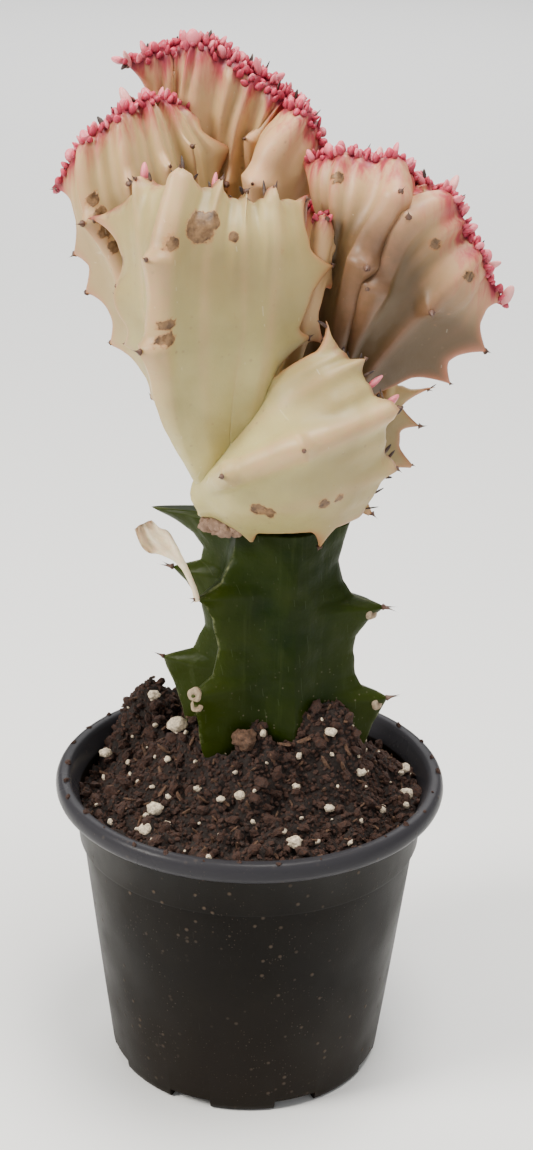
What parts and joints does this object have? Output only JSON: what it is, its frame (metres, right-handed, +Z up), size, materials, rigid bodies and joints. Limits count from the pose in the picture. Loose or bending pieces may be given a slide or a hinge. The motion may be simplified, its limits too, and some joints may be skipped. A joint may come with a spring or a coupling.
{
  "type": "potted crested euphorbia",
  "caption": "A pale crested succulent shaped like folded fans, grafted on a short green winged stem, standing in loose potting mix in a round black nursery pot.",
  "frame": {"origin": "centre of the pot's underside, on the face it stands on", "axes": "+Z straight up the pot's axis, -Y towards the front, +X to the front view's right"},
  "size_m": [0.1228, 0.115, 0.3011],
  "materials": {
    "pot_plastic": "satin black moulded plastic with dust",
    "mix": "damp crumbly bark and peat",
    "stem_skin": "waxy green plant skin",
    "crest_skin": "matt waxy cream plant skin with crimson growing edge",
    "callus": "rough dry scab",
    "dry_leaf": "papery dry leaf",
    "spine": "dark horny spine",
    "scar": "pale cork",
    "perlite": "white foamed grain"
  },
  "bodies": {
    "root": {"clod": "mix", "crest": "crest_skin", "crest_spine_1": "spine", "crest_spine_10": "spine", "crest_spine_11": "spine", "crest_spine_12": "spine", "crest_spine_13": "spine", "crest_spine_14": "spine", "crest_spine_2": "spine", "crest_spine_3": "spine", "crest_spine_4": "spine", "crest_spine_5": "spine", "crest_spine_6": "spine", "crest_spine_7": "spine", "crest_spine_8": "spine", "crest_spine_9": "spine", "graft_callus": "callus", "leaf_scar_1": "scar", "leaf_scar_2": "scar", "leaf_scar_3": "scar", "leaf_scar_4": "scar", "perlite_1": "perlite", "perlite_10": "perlite", "perlite_11": "perlite", "perlite_12": "perlite", "perlite_13": "perlite", "perlite_14": "perlite", "perlite_15": "perlite", "perlite_2": "perlite", "perlite_3": "perlite", "perlite_4": "perlite", "perlite_5": "perlite", "perlite_6": "perlite", "perlite_7": "perlite", "perlite_8": "perlite", "perlite_9": "perlite", "pot": "pot_plastic", "potting_mix": "mix", "rootstock": "stem_skin", "stem_spine_1": "spine", "stem_spine_2": "spine", "stem_spine_3": "spine", "stem_spine_4": "spine", "stem_spine_5": "spine", "stem_spine_6": "spine", "stem_spine_7": "spine", "withered_leaf": "dry_leaf"}
  },
  "joints": []
}
